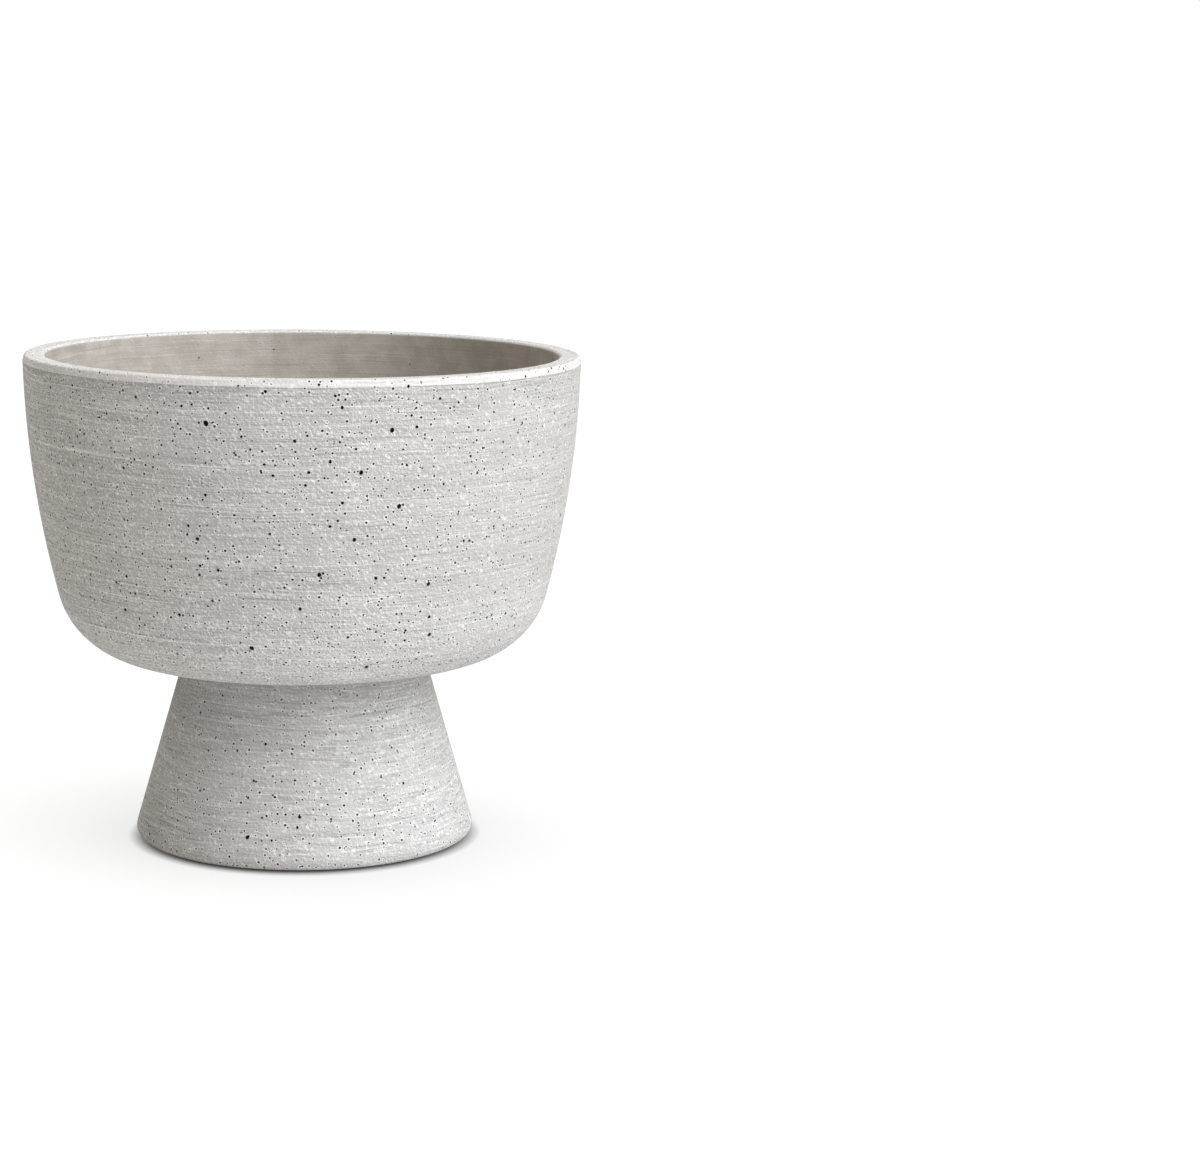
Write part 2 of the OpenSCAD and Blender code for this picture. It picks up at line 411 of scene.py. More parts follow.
def air_hole_tree():
    """A node tree that cuts scattered round pits, and pits at marked points, out of a closed mesh."""
    tree = bpy.data.node_groups.new("air_holes", "GeometryNodeTree")
    tree.interface.new_socket("Geometry", in_out="OUTPUT", socket_type="NodeSocketGeometry")
    kinds = {
        "Geometry": "Geometry", "Marked Holes": "Object", "Concrete": "Material", "Clear Side": "Vector",
        "Holes per Square Metre": "Float", "Spacing": "Float", "Least Radius": "Float",
        "Most Radius": "Float", "From Height": "Float", "To Height": "Float", "Inner Wall Share": "Float",
        "Darkness": "Float", "Depth": "Float", "Facets": "Int", "Seed": "Int",
    }
    for name, kind in kinds.items():
        tree.interface.new_socket(name, in_out="INPUT", socket_type="NodeSocket" + kind)
    start = Shade(tree).node("NodeGroupInput")
    given = {name: start.other(name) for name in kinds}
    seed = given["Seed"]

    def vector(operation, first, second, out=0):
        key = "Scale" if operation == "SCALE" else 1
        return start.node("ShaderNodeVectorMath", {"operation": operation}, {0: first, key: second}, out)

    def stored(name, kind):
        return start.node("GeometryNodeInputNamedAttribute", {"data_type": kind}, {"Name": name})

    def store(shape, name, kind, value, domain="POINT"):
        settings = {"data_type": kind, "domain": domain}
        sockets = {"Geometry": shape, "Name": name, "Value": value}
        return start.node("GeometryNodeStoreNamedAttribute", settings, sockets)

    # Points on the faces that are free for scattered holes, fewer of them on the inner wall
    position = start.node("GeometryNodeInputPosition")
    normal = start.node("GeometryNodeInputNormal")
    height = start.node("ShaderNodeSeparateXYZ", None, {0: position}, out="Z")
    along = vector("DOT_PRODUCT", normal, given["Clear Side"], "Value")
    free = (along < CLEAR_COSINE) * (height > given["From Height"]) * (height < given["To Height"])
    free = free * (stored("pit", "FLOAT") < PIT_FROM)
    facing_axis = vector("DOT_PRODUCT", vector("MULTIPLY", position, (1, 1, 0)), normal, "Value")
    share = 1 - (facing_axis < -INNER_WALL_R) * (1 - given["Inner Wall Share"])
    spots = start.node("GeometryNodeDistributePointsOnFaces", {"distribute_method": "POISSON"}, {
        "Mesh": given["Geometry"], "Selection": free, "Distance Min": given["Spacing"], "Seed": seed,
        "Density Max": given["Holes per Square Metre"], "Density Factor": share})
    chance = start.node("FunctionNodeRandomValue", {"data_type": "FLOAT"}, {"Seed": seed}, out=1)
    radius = given["Least Radius"] + (given["Most Radius"] - given["Least Radius"]) * chance ** SPREAD_POWER
    spots = store(spots, "outward", "FLOAT_VECTOR", spots.other("Normal"))
    spots = store(spots, "wide", "FLOAT", radius)
    marks = start.node("GeometryNodeObjectInfo", None, {"Object": given["Marked Holes"]}, out="Geometry")
    marks = start.node("GeometryNodeMeshToPoints", None, {"Mesh": marks})
    places = start.node("GeometryNodeJoinGeometry", None, {0: spots})
    tree.links.new(marks.socket, places.socket.node.inputs[0])

    # A ball at each point, painted darker the deeper it goes as painted shade, and all balls taken out of
    # the piece
    outward = stored("outward", "FLOAT_VECTOR")
    size = stored("wide", "FLOAT")
    places = start.node("GeometryNodeSetPosition", None, {
        "Geometry": places, "Offset": vector("SCALE", outward, size * -SUNK)})
    ball = start.node("GeometryNodeMeshIcoSphere", None, {"Radius": 1.0, "Subdivisions": given["Facets"]})
    deep = 1 - (height + given["Depth"]).rise(-PIT_FADE, PIT_FADE)
    ball = store(ball, "pit", "FLOAT", deep * given["Darkness"] + PIT_LEAST, "FACE")
    upright = start.node("FunctionNodeAlignRotationToVector", {"axis": "Z"}, {"Vector": outward})
    squeezed = start.node("FunctionNodeRandomValue", {"data_type": "FLOAT_VECTOR"}, {
        0: (ROUNDNESS[0],) * 3, 1: (ROUNDNESS[1],) * 3, "Seed": seed})
    balls = start.node("GeometryNodeInstanceOnPoints", None, {
        "Points": places, "Instance": ball, "Rotation": upright, "Scale": vector("SCALE", squeezed, size)})
    balls = start.node("GeometryNodeRealizeInstances", None, {0: balls})
    pitted = start.node("GeometryNodeMeshBoolean", {"operation": "DIFFERENCE", "solver": "MANIFOLD"}, {
        "Mesh 1": given["Geometry"], "Mesh 2": balls})
    whole = start.node("GeometryNodeRealizeInstances", None, {0: pitted})
    painted = start.node("GeometryNodeSetMaterial", None, {"Geometry": whole, "Material": given["Concrete"]})
    start.node("NodeGroupOutput", None, {0: painted})
    return tree


def cut_air_holes(piece, given):
    """Cuts air holes out of a piece. What is given is the tree's inputs by name."""
    scatter = piece.modifiers.new("air_holes", "NODES")
    scatter.node_group = air_holes
    for item in air_holes.interface.items_tree:
        if item.in_out == "INPUT" and item.name in given:
            scatter[item.identifier] = given[item.name]
    bake(piece)


def mark_holes(name, spots):
    """An object with a point for each hole, from its place, its outward direction and its width."""
    mesh = bpy.data.meshes.new(name)
    mesh.from_pydata([place for place, _, _ in spots], [], [])
    outwards = mesh.attributes.new("outward", "FLOAT_VECTOR", "POINT")
    outwards.data.foreach_set("vector", [part for _, outward, _ in spots for part in outward])
    radii = mesh.attributes.new("wide", "FLOAT", "POINT")
    radii.data.foreach_set("value", [wide / 2 for _, _, wide in spots])
    marks = bpy.data.objects.new(name, mesh)
    bpy.context.scene.collection.objects.link(marks)
    return marks


def side_spot(degrees, z, wide):
    """Place, outward direction and width of a hole on the bowl's outside."""
    if z > corner_c[1]:
        centre, radius = SIDE_C, SIDE_R
    else:
        centre, radius = corner_c, CORNER_R
    r = centre[0] + sqrt(radius ** 2 - (z - centre[1]) ** 2)
    across, up = (r - centre[0]) / radius, (z - centre[1]) / radius
    turn = radians(degrees)
    place = Vector((r * cos(turn), r * sin(turn), z))
    return place, Vector((across * cos(turn), across * sin(turn), up)), wide


# The larger holes in millimetres: on the side in front as direction, height and width, on the floor as x, y
# and width, and on the rim as direction, distance from the axis and width
SIDE_HOLES = (
    (-109, 325, 4.7), (-102, 170, 4.4), (-71, 269, 4.0), (-73, 321, 4.0), (-79, 293, 3.8), (-87, 223, 3.7),
    (-63, 213, 3.6), (-61, 176, 3.6), (-80, 247, 3.4), (-112, 246, 3.2), (-91, 199, 3.1), (-108, 225, 2.9),
    (-75, 154, 4.2),
)
FLOOR_HOLES = (
    (-8, 53, 4.5), (83, -32, 4.4), (53, -34, 3.6), (-53, -85, 3.3), (41, -51, 3.2), (53, 105, 3.1),
    (32, -107, 2.8), (67, 30, 2.7), (-80, -38, 2.7), (78, -101, 2.7),
)
RIM_HOLES = ((2, 195, 3.1), (-132, 191, 3.1), (140, 190, 2.9), (-97, 197, 2.7), (-40, 193, 2.6))
spots = [side_spot(degrees, z * MM, wide * MM) for degrees, z, wide in SIDE_HOLES]
spots += [(Vector((x * MM, y * MM, FLOOR_Z)), Vector((0, 0, 1)), wide * MM) for x, y, wide in FLOOR_HOLES]
for degrees, r, wide in RIM_HOLES:
    turn = radians(degrees)
    spots.append((Vector((r * MM * cos(turn), r * MM * sin(turn), RIM_Z)), Vector((0, 0, 1)), wide * MM))
bowl_marks = mark_holes("bowl_marks", spots)


def srgb(red, green, blue):
    """A colour as a screen shows it, 0 to 255, as the linear numbers that a shader takes."""
    return (*(((c / 255 + 0.055) / 1.055) ** 2.4 for c in (red, green, blue)), 1.0)


# Brush marks wander from level: how far, and over what length. A dot and the ring round it fade between
# these shares of the dot's radius.
FAR_WANDER, FAR_WANDER_L = 9 * MM, 140 * MM
NEAR_WANDER, NEAR_WANDER_L = 1.2 * MM, 14 * MM
DOT_EDGE = (1.15, 0.80)
RING_EDGE = (2.2, 1.5)


class Surface:
    """Patterns on a piece that is turned about z, in metres."""

    def __init__(self, shade):
        self.shade = shade
        self.place = shade.node("ShaderNodeTexCoord", out="Object")
        self.x = shade.node("ShaderNodeSeparateXYZ", None, {0: self.place}, out="X")
        self.y = self.x.other("Y")
        self.z = self.x.other("Z")
        self.r = (self.x * self.x + self.y * self.y) ** 0.5
        safe = self.r.math("MAXIMUM", MM)
        self.round_x = self.x / safe
        self.round_y = self.y / safe
        wander = self.swing(FAR_WANDER_L, 1) * FAR_WANDER + self.swing(NEAR_WANDER_L, 1) * NEAR_WANDER
        self.level = self.z + self.r + wander

    def noise(self, size, detail=2, place=None, roughness=0.5):
        """Soft patches of about a size, from 0 to 1."""
        sockets = {"Vector": place or self.place, "Scale": 1 / size, "Detail": detail, "Roughness": roughness}
        return self.shade.node("ShaderNodeTexNoise", None, sockets)

    def swing(self, size, detail=2, place=None, roughness=0.5):
        """Soft patches of about a size, from -0.5 to 0.5."""
        return self.noise(size, detail, place, roughness) - 0.5

    def round_about(self, length, width):
        """Coordinates in which a pattern is drawn out round the axis."""
        across = RIM_R / length
        sockets = {0: self.round_x * across, 1: self.round_y * across, 2: self.level / width}
        return self.shade.node("ShaderNodeCombineXYZ", None, sockets)

    def brush_marks(self, length, width, low, high):
        """Level marks of about a length and width, where soft noise passes from low to high."""
        return self.noise(1, 1, self.round_about(length, width)).rise(low, high)

    def nicks(self, length, width, turn, low, high):
        """Short straight marks along planes that are turned from level."""
        sockets = {"Vector": self.place, "Rotation": turn, "Scale": (length, length, width)}
        slanting = self.shade.node("ShaderNodeMapping", {"vector_type": "TEXTURE"}, sockets)
        return self.noise(1, 0, slanting).rise(low, high)

    def shifted(self, offset):
        """The place a small way off."""
        return self.shade.node("ShaderNodeVectorMath", {"operation": "ADD"}, {0: self.place, 1: offset})

    def dots(self, spacing, radius, share, seed=0.0):
        """Round dots on a share of the points of a loose grid, and the rings round them."""
        moved = self.shifted((seed, seed, seed))
        settings = {"voronoi_dimensions": "3D", "feature": "F1"}
        cell = self.shade.node("ShaderNodeTexVoronoi", settings, {"Vector": moved, "Scale": 1 / spacing})
        chance = self.shade.node("ShaderNodeSeparateColor", None, {0: cell.other("Color")})
        near = cell * spacing
        kept = chance < share
        dot = near.rise(radius * DOT_EDGE[0], radius * DOT_EDGE[1]) * kept
        ring = near.rise(radius * RING_EDGE[0], radius * RING_EDGE[1]) * kept - dot
        return dot, ring


# The patterns in concrete: clouds, patches and sandy grain; curls, painted light and shade that draw the lit
# and shaded edges of small raised flakes in the colour; brush marks as length and width, some with the
# levels of noise between which they fade in; nicks as length, width, turn and levels of noise; painted pores
# as spacing, radius, share and seed. TONE is how far a pattern changes the colour, and RISE and SINK are how
# far it stands up or lies down, in millimetres.
CLOUD, CLOUD_TONE = 90 * MM, 0.16
PATCH, PATCH_TONE = 20 * MM, 0.08
GRAIN, GRAIN_TONE, GRAIN_RISE, GRAIN_GLOSS = 0.8 * MM, 0.66, 0.30, 0.4
CURL, CURL_LIGHT_TONE, CURL_SHIFT = 2.0 * MM, 1.45, 0.4 * MM
CURL_BODY, CURL_CREST, CURL_CREST_FROM = 0.8, 2.4, 0.05
ROUGH_NOISE = 0.6
FINE, FINE_TONE, FINE_RISE = (50 * MM, 0.8 * MM), 0.82, 0.30
BROAD, BROAD_TONE = (150 * MM, 5 * MM), 0.10
LIGHT_MARKS, LIGHT_TONE = (90 * MM, 1.2 * MM, 0.60, 0.70), 0.26
DARK_MARKS, DARK_TONE = (80 * MM, 1.3 * MM, 0.40, 0.30), 0.22
LONG_MARKS, LONG_TONE = (360 * MM, 1.7 * MM, 0.66, 0.74), 0.30
STEEP_NICKS = (9 * MM, 1.0 * MM, (0.2, 1.0, 0.3), 0.68, 0.76)
FLAT_NICKS = (8 * MM, 1.0 * MM, (1.0, 0.5, 0.1), 0.70, 0.78)
NICK_TONE, NICK_RISE = 0.26, 0.2
SPECKS, SPECK_TONE, SPECK_SINK = (4.4 * MM, 0.70 * MM, 0.75), 0.94, 0.35
CHIPS, CHIP_TONE, CHIP_SINK = (6.2 * MM, 0.90 * MM, 0.7, 0.37), 0.95, 0.45
PRICKS, PRICK_TONE = (3.1 * MM, 0.55 * MM, 0.6, 0.19), 0.8
RING_TONE = 0.34
MATT = 0.84
SHEEN = 0.25


def concrete(name, finish):
    """Cast concrete. finish gives a surface's colour, and how far it is brushed, grainy and pored."""
    material = bpy.data.materials.new(name)
    shade = open_tree(material)
    face = Surface(shade)
    colour, brushed, grainy, pored = finish(face)
    cloud = face.swing(CLOUD) * CLOUD_TONE + face.swing(PATCH) * PATCH_TONE
    grain = face.swing(GRAIN, 1, roughness=ROUGH_NOISE) * grainy
    fine = face.swing(1, 1, face.round_about(*FINE), ROUGH_NOISE) * brushed
    broad = face.swing(1, 2, face.round_about(*BROAD)) * brushed
    streaks = face.brush_marks(*LIGHT_MARKS) * LIGHT_TONE + face.brush_marks(*LONG_MARKS) * LONG_TONE
    streaks = (streaks - face.brush_marks(*DARK_MARKS) * DARK_TONE) * brushed
    # Painted light and shade: a patch less the same patch moved aside, a lit and a shaded edge on the curls
    aside = face.shifted((CURL_SHIFT, 0, CURL_SHIFT))
    here, there = (face.noise(CURL, 2, place, ROUGH_NOISE) for place in (face.place, aside))
    curl_light_and_shade = (here - there) * grainy
    curl_light_and_shade = curl_light_and_shade * CURL_BODY + (curl_light_and_shade - CURL_CREST_FROM).math("MAXIMUM", 0.0) * CURL_CREST
    nick = (face.nicks(*STEEP_NICKS) + face.nicks(*FLAT_NICKS)) * grainy
    # Painted pores: dark dots with a shallow dip that stand for small holes, their dark as painted shade
    speck, speck_ring = face.dots(*SPECKS)
    chip, chip_ring = face.dots(*CHIPS)
    prick, _ = face.dots(*PRICKS)
    crowded = (pored - 1).math("MAXIMUM", 0.0)
    pored = pored.math("MINIMUM", 1.0)
    tone = 1 + cloud + grain * GRAIN_TONE + fine * FINE_TONE + broad * BROAD_TONE + curl_light_and_shade * CURL_LIGHT_TONE
    tone = tone + streaks + nick * NICK_TONE + (speck_ring + chip_ring) * pored * RING_TONE
    tone = tone * (1 - speck * pored * SPECK_TONE) * (1 - chip * pored * CHIP_TONE)
    tone = tone * (1 - prick * crowded * PRICK_TONE)
    # Painted shade in the air holes, darker the deeper a point lies
    pit = shade.node("ShaderNodeAttribute", {"attribute_name": "pit"}, out="Fac")
    tone = tone * (1 - pit)
    painted = shade.node("ShaderNodeVectorMath", {"operation": "SCALE"}, {0: colour, "Scale": tone})
    relief = grain * GRAIN_RISE + fine * FINE_RISE + nick * NICK_RISE
    relief = (relief - (speck * SPECK_SINK + chip * CHIP_SINK) * pored) * MM
    bump = shade.node("ShaderNodeBump", None, {"Strength": 1.0, "Distance": 1.0, "Height": relief})
    rough = (MATT + grain * GRAIN_GLOSS).math("MINIMUM", 1.0)
    look = shade.node("ShaderNodeBsdfPrincipled", None, {
        "Base Color": painted, "Roughness": rough, "Specular IOR Level": SHEEN, "Normal": bump})
    shade.node("ShaderNodeOutputMaterial", None, {"Surface": look})
    return material


# The bowl's colours, the places where salt has bloomed on its floor, and the heights or depths between
# which each zone of its surface fades in
SIDE_GREY = srgb(201, 203, 203)
CORNER_PAINTED_LIGHT_GREY = srgb(214, 217, 219)
RIM_RUBBED_AND_LIT = srgb(235, 236, 235)
BAND_RUBBED_AND_LIT = srgb(231, 232, 232)
WALL_DARK = srgb(187, 183, 175)
WALL_LIGHT = srgb(199, 195, 188)
FLOOR_BROWN = srgb(186, 178, 166)
SALT_WHITE = srgb(214, 211, 204)
PAINTED_SHADE_GREY = srgb(120, 117, 112)
EDGE_SHADE, UNDER_SHADE = 0.25, 0.08
SALT_PLACE, SALT_REACH = (-120 * MM, 2 * MM, FLOOR_Z), 34 * MM
SALT_LUMP, SALT_NOISE = 9 * MM, (0.50, 0.62)
FLECK_PLACE, FLECK_REACH = (-9 * MM, 85 * MM, FLOOR_Z), 60 * MM
FLECK_LUMP, FLECK_NOISE = 12 * MM, (0.45, 0.6)
FLECKS = (4.2 * MM, 1.0 * MM, 0.5, 0.71)
SALT_STRENGTH = 0.75
NEAR_FADE = 0.35
WALL_LUMP, WALL_NOISE = 16 * MM, (0.36, 0.64)
UNDER_H = 16 * MM
RUBBED_CALM, CORNER_ROUGH = 0.55, 0.1
SMOOTH_SIDE, SMOOTH_CALM = (0.1, 0.9), 0.36
INSIDE_FADE = (SIDE_R - WALL / 2 + MM / 2, SIDE_R - WALL / 2 - MM / 2)
OVER_FLOOR_FADE = (FLOOR_Z - 1.5 * MM, FLOOR_Z - 0.5 * MM)
FLOOR_FADE = (FLOOR_Z + COVE_R * 1.2, FLOOR_Z + MM)
RIM_FADE = (RIM_Z - BEAD_R * 0.7, RIM_Z - BEAD_R * 0.1)
BAND_FADE = (RIM_Z - BAND_H - 0.2 * MM, RIM_Z - BAND_H)
EDGE_FADE = (RIM_Z - BAND_H - 1.2 * MM, RIM_Z - BAND_H - 0.6 * MM)
UNDER_FADE = (RIM_Z - UNDER_H, RIM_Z - UNDER_H / 2)
CORNER_FADE = (UNDER_Z + CORNER_R * 1.4, UNDER_Z + CORNER_R * 0.2)


def bowl_finish(face):
    """Grey outside with painted light on the lower corner and painted shade just under the rim, darker and
    browner inside, and a pale rim, partly rubbed and partly painted light. Some salt has bloomed on the
    floor.
    """
    across = face.r - SIDE_C[0]
    rise = face.z - SIDE_C[1]
    depth = (across * across + rise * rise) ** 0.5
    rim = face.z.rise(*RIM_FADE)
    inside = depth.rise(*INSIDE_FADE) * face.z.rise(*OVER_FLOOR_FADE) * (1 - rim)
    outside = 1 - inside
    floor = face.z.rise(*FLOOR_FADE) * inside
    band = face.z.rise(*BAND_FADE) * outside
    edge = face.z.rise(*EDGE_FADE) * outside - band
    under = face.z.rise(*UNDER_FADE) * outside - band
    corner = face.z.rise(*CORNER_FADE)

    def near(place, reach):
        sockets = {0: face.place, 1: place}
        gap = face.shade.node("ShaderNodeVectorMath", {"operation": "DISTANCE"}, sockets, "Value")
        return gap.rise(reach, reach * NEAR_FADE)

    wall = face.noise(WALL_LUMP, 2).rise(*WALL_NOISE).mix(WALL_DARK, WALL_LIGHT)
    # Painted light: the lower corner, which faces down, is paler in place of light thrown up from the ground
    colour = inside.mix(corner.mix(SIDE_GREY, CORNER_PAINTED_LIGHT_GREY), wall)
    colour = floor.mix(colour, FLOOR_BROWN)
    # Painted shade: a dark line just under the band and a faint darkening of the side just under the rim
    colour = (edge * EDGE_SHADE + under * UNDER_SHADE).mix(colour, PAINTED_SHADE_GREY)
    # Painted light: the rim and its band are pale partly from rubbing and partly where the lip catches light
    colour = rim.mix(band.mix(colour, BAND_RUBBED_AND_LIT), RIM_RUBBED_AND_LIT)
    salt = near(SALT_PLACE, SALT_REACH) * face.noise(SALT_LUMP, 3).rise(*SALT_NOISE)
    flecks, _ = face.dots(*FLECKS)
    flecks = flecks * face.noise(FLECK_LUMP, 2).rise(*FLECK_NOISE)
    salt = salt + near(FLECK_PLACE, FLECK_REACH) * flecks
    colour = (salt * inside * SALT_STRENGTH).math("MINIMUM", 1.0).mix(colour, SALT_WHITE)
    calm = 1 - band.math("MAXIMUM", rim) * RUBBED_CALM
    calm = calm * (1 + corner * CORNER_ROUGH - face.round_x.rise(*SMOOTH_SIDE) * SMOOTH_CALM)

    # The side's brush marks, grain and pores count as 1, and the other zones have so much more or less
    brushed = (1 - inside * 0.5 - floor * 0.25 + under * 0.1) * calm
    grainy = (1 - inside * 0.75 + floor * 0.5) * calm
    pored = 1 - inside * 0.85 + floor * 1.7 + rim * 0.9 - band * 0.3 + corner * outside * 0.8
    return colour, brushed, grainy, pored


bowl_concrete = concrete("bowl_concrete", bowl_finish)
air_holes = air_hole_tree()
cut_air_holes(bowl, {
    "Marked Holes": bowl_marks, "Concrete": bowl_concrete, "Clear Side": (0, -1, 0),
    "Holes per Square Metre": 330.0, "Spacing": 11 * MM, "Least Radius": 1.3 * MM, "Most Radius": 2.3 * MM,
    "From Height": FLOOR_Z + MM, "To Height": RIM_Z + MM, "Inner Wall Share": 0.10, "Darkness": 0.95,
    "Depth": 0.0, "Facets": 3, "Seed": 5})
cut_air_holes(bowl, {
    "Concrete": bowl_concrete, "Clear Side": (0, 0, 0), "Holes per Square Metre": 5200.0,
    "Spacing": 3.4 * MM, "Least Radius": 0.72 * MM, "Most Radius": 1.50 * MM,
    "From Height": UNDER_Z + MM, "To Height": RIM_Z + MM, "Inner Wall Share": 0.07, "Darkness": 0.97,
    "Depth": -0.6, "Facets": 1, "Seed": 11})
bpy.data.objects.remove(bowl_marks)
FOLD_ANGLE = radians(50)
bowl.data.shade_smooth()
bowl.data.set_sharp_from_angle(angle=FOLD_ANGLE)
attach(bowl, "root")
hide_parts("bowl")

# Pedestal
# A hollow cone of the same concrete, cast in one piece, open at the foot and closed by a plate at the top.
# A flat spigot on the plate centres the bowl, and three bolts pass through the plate from below.
FOOT_R = 125.5 * MM
NECK_R = 88 * MM
FOOT_ROUND = 7 * MM
NECK_ROUND = 2 * MM
PEDESTAL_WALL = 25.5 * MM
PLATE_T = 22 * MM
CORE_ROUND = 10 * MM
BOLT_HOLE_R = 5 * MM
FOOT_STEP = 1 * MM
FOOT_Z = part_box("pedestal")[0][2]
NECK_Z = UNDER_Z - BED_T
SPIGOT_Z = NECK_Z + SPIGOT_H
PLATE_Z = NECK_Z - PLATE_T
CONE_LEAN = atan((FOOT_R - NECK_R) / (NECK_Z - FOOT_Z))
HALF_TURN = (pi / 2 - CONE_LEAN) / 2
core_foot_r = FOOT_R - PEDESTAL_WALL
core_top_r = core_foot_r - (PLATE_Z - FOOT_Z) * tan(CONE_LEAN)
foot_c = (FOOT_R - FOOT_ROUND / tan(HALF_TURN), FOOT_Z + FOOT_ROUND)
neck_c = (NECK_R - NECK_ROUND * tan(HALF_TURN), NECK_Z - NECK_ROUND)
core_c = (core_top_r - CORE_ROUND * tan(HALF_TURN), PLATE_Z - CORE_ROUND)
core_arc = arc(core_c, CORE_ROUND, pi / 2, CONE_LEAN, COVE_STEP)
foot_arc = arc(foot_c, FOOT_ROUND, -pi / 2, CONE_LEAN, FOOT_STEP)
neck_arc = arc(neck_c, NECK_ROUND, CONE_LEAN, pi / 2, EDGE_STEP)
pedestal_outline = (
    line((0, PLATE_Z), core_arc[0], FLAT_STEP)
    + core_arc
    + line(core_arc[-1], (core_foot_r, FOOT_Z), FLAT_STEP)
    + line((core_foot_r, FOOT_Z), foot_arc[0], FLAT_STEP)
    + foot_arc
    + line(foot_arc[-1], neck_arc[0], FLAT_STEP)
    + neck_arc
    + line(neck_arc[-1], (SPIGOT_R, NECK_Z), FLAT_STEP)
    + line((SPIGOT_R, NECK_Z), (SPIGOT_R, SPIGOT_Z), FLAT_STEP)
    + line((SPIGOT_R, SPIGOT_Z), (0, SPIGOT_Z), WIDE_STEP)
)
pedestal = lathe("planter_pedestal", pedestal_outline, TURN_STEPS)
hole_low, hole_high = PLATE_Z - OVERCUT, SPIGOT_Z + OVERCUT
bolt_hole_outline = [(0, hole_low), (BOLT_HOLE_R, hole_low), (BOLT_HOLE_R, hole_high), (0, hole_high)]
cut(pedestal, [lathe("bolt_hole", bolt_hole_outline, POCKET_STEPS, place) for place in bolt_places])

# The larger holes in front, as direction, height and width in millimetres
CONE_HOLES = ((-110, 24, 3.3), (-92, 39, 2.8), (-132, 51, 2.3), (-81, 37, 2.0))
spots = []
for degrees, z, wide in CONE_HOLES:
    turn, r = radians(degrees), FOOT_R - (z * MM - FOOT_Z) * tan(CONE_LEAN)
    outward = Vector((cos(turn) * cos(CONE_LEAN), sin(turn) * cos(CONE_LEAN), sin(CONE_LEAN)))
    spots.append((Vector((r * cos(turn), r * sin(turn), z * MM)), outward, wide * MM))
cone_marks = mark_holes("cone_marks", spots)
NECK_SHADED_GREY = srgb(185, 187, 187)
FOOT_GREY = srgb(202, 204, 204)
HOLLOW_GREY = srgb(176, 172, 166)
LOW_FADE = (NECK_Z, FOOT_Z + (NECK_Z - FOOT_Z) * 0.3)
HOLLOW_FADE = (PEDESTAL_WALL * 0.4, PEDESTAL_WALL * 0.6)
PLATE_FADE = (PLATE_Z + 2 * MM, PLATE_Z + MM)


def pedestal_finish(face):
    """Grey and brushed outside, darker at the neck as painted shade under the bowl, browner and plain as cast
    in the hollow.
    """
    outer = FOOT_R - (face.z - FOOT_Z) * tan(CONE_LEAN)
    hollow = (outer - face.r).rise(*HOLLOW_FADE) * face.z.rise(*PLATE_FADE)
    low = face.z.rise(*LOW_FADE)
    # Painted shade: darker towards the neck, under the bowl
    colour = hollow.mix(low.mix(NECK_SHADED_GREY, FOOT_GREY), HOLLOW_GREY)

    # Of the brush marks, grain and pores on the bowl's side, which count as 1
    brushed = 0.86 - hollow * 0.7
    grainy = 0.76 - hollow * 0.2
    pored = 0.7 + low * 0.3 - hollow * 0.6
    return colour, brushed, grainy, pored


pedestal_concrete = concrete("pedestal_concrete", pedestal_finish)
cut_air_holes(pedestal, {
    "Marked Holes": cone_marks, "Concrete": pedestal_concrete, "Clear Side": (0, -1, 0),
    "Holes per Square Metre": 200.0, "Spacing": 11 * MM, "Least Radius": 1.1 * MM, "Most Radius": 2.0 * MM,
    "From Height": FOOT_Z + FOOT_ROUND, "To Height": NECK_Z - NECK_ROUND * 2, "Inner Wall Share": 0.0,
    "Darkness": 0.95, "Depth": 0.0, "Facets": 3, "Seed": 7})
cut_air_holes(pedestal, {
    "Concrete": pedestal_concrete, "Clear Side": (0, 0, 0), "Holes per Square Metre": 3600.0,
    "Spacing": 3.4 * MM, "Least Radius": 0.65 * MM, "Most Radius": 1.35 * MM,
    "From Height": FOOT_Z + MM, "To Height": NECK_Z - NECK_ROUND * 2, "Inner Wall Share": 0.0,
    "Darkness": 0.97, "Depth": -0.6, "Facets": 1, "Seed": 13})
bpy.data.objects.remove(cone_marks)
pedestal.data.shade_smooth()
pedestal.data.set_sharp_from_angle(angle=FOLD_ANGLE)
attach(pedestal, "root")
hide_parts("pedestal")

# Bedding
# Coarse, sandy cement mortar that fills the gap between bowl and pedestal, on the plate and over the spigot.
# It is struck off flush and is seen only as a thin line in the shade under the bowl.
MORTAR_GREY = srgb(196, 195, 194)
SAND_DARK = srgb(112, 106, 97)
SAND_SIZE = 1.1 * MM
SAND_SHARE, SAND_STRENGTH, SAND_HEIGHT = 0.5, 0.7, 0.4
MORTAR_PATCH, PATCHY = 18 * MM, 0.3
MORTAR_TONE, LUMP_TONE, LUMP_HEIGHT = 0.75, 0.6, 0.5 * MM
MORTAR_MATT, LUMP_GLOSS = 0.9, 0.2


def give_material(names, material):
    """Puts a material on the CAD pieces of these names."""
    for name in names:
        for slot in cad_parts[name].material_slots:
            slot.material = material


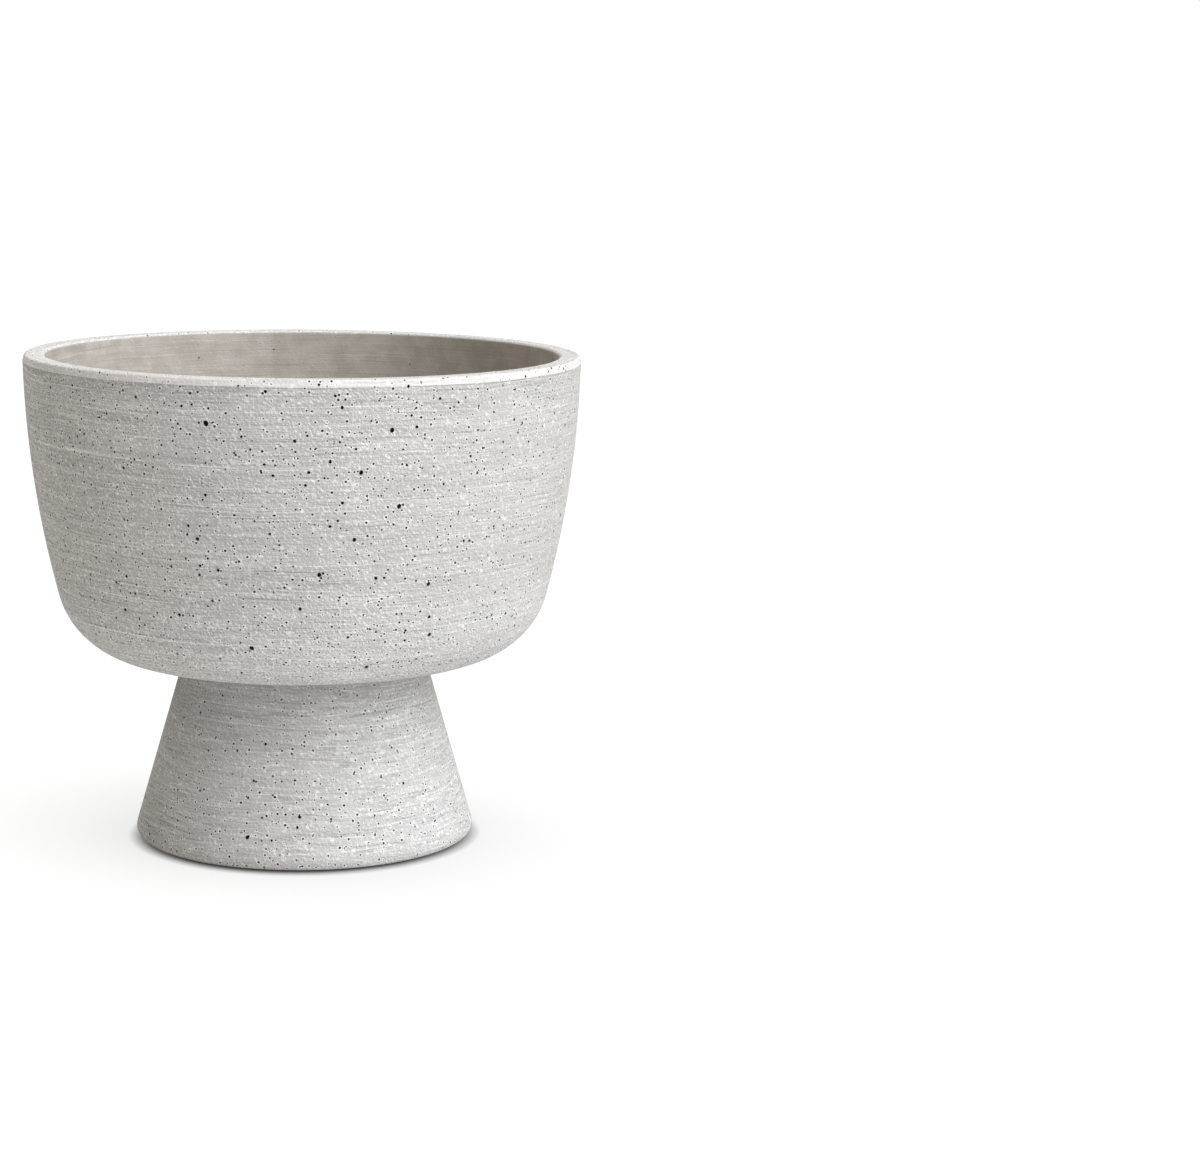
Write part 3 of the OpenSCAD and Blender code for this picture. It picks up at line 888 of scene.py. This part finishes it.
mortar = bpy.data.materials.new("mortar")
shade = open_tree(mortar)
face = Surface(shade)
sand, _ = face.dots(SAND_SIZE * 2, SAND_SIZE / 2, SAND_SHARE)
lumps = face.swing(SAND_SIZE, 3, roughness=0.7)
tone = MORTAR_TONE + lumps * LUMP_TONE + face.swing(MORTAR_PATCH) * PATCHY
colour = (sand * SAND_STRENGTH).mix(MORTAR_GREY, SAND_DARK)
painted = shade.node("ShaderNodeVectorMath", {"operation": "SCALE"}, {0: colour, "Scale": tone})
relief = (lumps + sand * SAND_HEIGHT) * LUMP_HEIGHT
bump = shade.node("ShaderNodeBump", None, {"Strength": 1.0, "Distance": 1.0, "Height": relief})
rough = (MORTAR_MATT + lumps * LUMP_GLOSS).math("MINIMUM", 1.0)
look = shade.node("ShaderNodeBsdfPrincipled", None, {
    "Base Color": painted, "Roughness": rough, "Normal": bump})
shade.node("ShaderNodeOutputMaterial", None, {"Surface": look})
give_material(["bedding"], mortar)

# Threaded sockets
# Three turned brass sockets, each with a blind M8 thread for a bolt and two grooves that lock it. They are
# cast into the bowl's underside.
BRASS = srgb(206, 178, 112)
BRASS_DULL = srgb(150, 120, 72)
TARNISH_SIZE, RING_LENGTH, METAL_GRAIN = 5 * MM, 40 * MM, 0.5 * MM
TARNISH_NOISE = (0.42, 0.66)
TARNISH_GLOSS, METAL_RING_GLOSS, METAL_GRAIN_GLOSS, LEAST_ROUGH = 0.18, 0.20, 0.10, 0.12
TARNISH_TONE, METAL_RING_TONE = 0.7, 0.3
METAL_RING_RISE, METAL_GRAIN_RISE = 0.03, 0.01


def turned_metal(name, bright, dull, gloss, pitch):
    """Bare metal with the fine rings of a lathe round z, and dull patches where it has tarnished."""
    material = bpy.data.materials.new(name)
    shade = open_tree(material)
    face = Surface(shade)
    tarnish = face.noise(TARNISH_SIZE, 3).rise(*TARNISH_NOISE)
    rings = face.swing(1, 2, face.round_about(RING_LENGTH, pitch))
    grain = face.swing(METAL_GRAIN, 2)
    rough = gloss + tarnish * TARNISH_GLOSS + rings * METAL_RING_GLOSS + grain * METAL_GRAIN_GLOSS
    relief = (rings * METAL_RING_RISE + grain * METAL_GRAIN_RISE) * MM
    bump = shade.node("ShaderNodeBump", None, {"Strength": 0.6, "Distance": 1.0, "Height": relief})
    dulled = (tarnish * TARNISH_TONE + rings * METAL_RING_TONE).math("MAXIMUM", 0.0)
    look = shade.node("ShaderNodeBsdfPrincipled", None, {
        "Base Color": dulled.mix(bright, dull), "Metallic": 1.0,
        "Roughness": rough.math("MAXIMUM", LEAST_ROUGH), "Normal": bump})
    shade.node("ShaderNodeOutputMaterial", None, {"Surface": look})
    return material


give_material(["insert_1", "insert_2", "insert_3"], turned_metal("brass", BRASS, BRASS_DULL, 0.28, 0.4 * MM))

# Bolts
# Three hexagon bolts, M8 by 45, of stainless steel. They are put in from the pedestal's hollow and pass up
# through the plate into the brass sockets.
STEEL = srgb(206, 207, 209)
STEEL_DULL = srgb(158, 157, 155)
bolt_steel = turned_metal("bolt_steel", STEEL, STEEL_DULL, 0.30, 0.6 * MM)
give_material(["bolt_1", "bolt_2", "bolt_3"], bolt_steel)

# Washers
# Under each bolt's head lie a split spring washer, of a slightly darker stainless steel, and a stamped flat
# washer, which spreads the bolt's pull on the concrete.
SPRING_STEEL = srgb(178, 178, 180)
SPRING_DULL = srgb(112, 110, 108)
flat_steel = turned_metal("washer_steel", STEEL, STEEL_DULL, 0.36, 0.9 * MM)
spring_steel = turned_metal("spring_steel", SPRING_STEEL, SPRING_DULL, 0.40, 0.5 * MM)
give_material(["flat_washer_1", "flat_washer_2", "flat_washer_3"], flat_steel)
give_material(["spring_washer_1", "spring_washer_2", "spring_washer_3"], spring_steel)

# Foot pads
# Four thin discs of black rubber, punched from sheet and glued under the foot so that the concrete doesn't
# stand on the ground itself.
RUBBER = srgb(52, 51, 50)
RUBBER_DUSTY = srgb(104, 101, 96)
DUST_SIZE, DUST_NOISE = 4 * MM, (0.46, 0.72)
DUST_TONE, DUST_MATT, RUBBER_MATT = 0.6, 0.2, 0.7
RUBBER_GRAIN, RUBBER_GRAIN_RISE = 0.4 * MM, 0.04
rubber = bpy.data.materials.new("rubber")
shade = open_tree(rubber)
face = Surface(shade)
dust = face.noise(DUST_SIZE, 3).rise(*DUST_NOISE)
relief = face.swing(RUBBER_GRAIN, 2) * RUBBER_GRAIN_RISE * MM
bump = shade.node("ShaderNodeBump", None, {"Strength": 0.8, "Distance": 1.0, "Height": relief})
look = shade.node("ShaderNodeBsdfPrincipled", None, {
    "Base Color": (dust * DUST_TONE).mix(RUBBER, RUBBER_DUSTY), "Roughness": RUBBER_MATT + dust * DUST_MATT,
    "Normal": bump})
shade.node("ShaderNodeOutputMaterial", None, {"Surface": look})
give_material([f"foot_pad_{i}" for i in range(1, 5)], rubber)
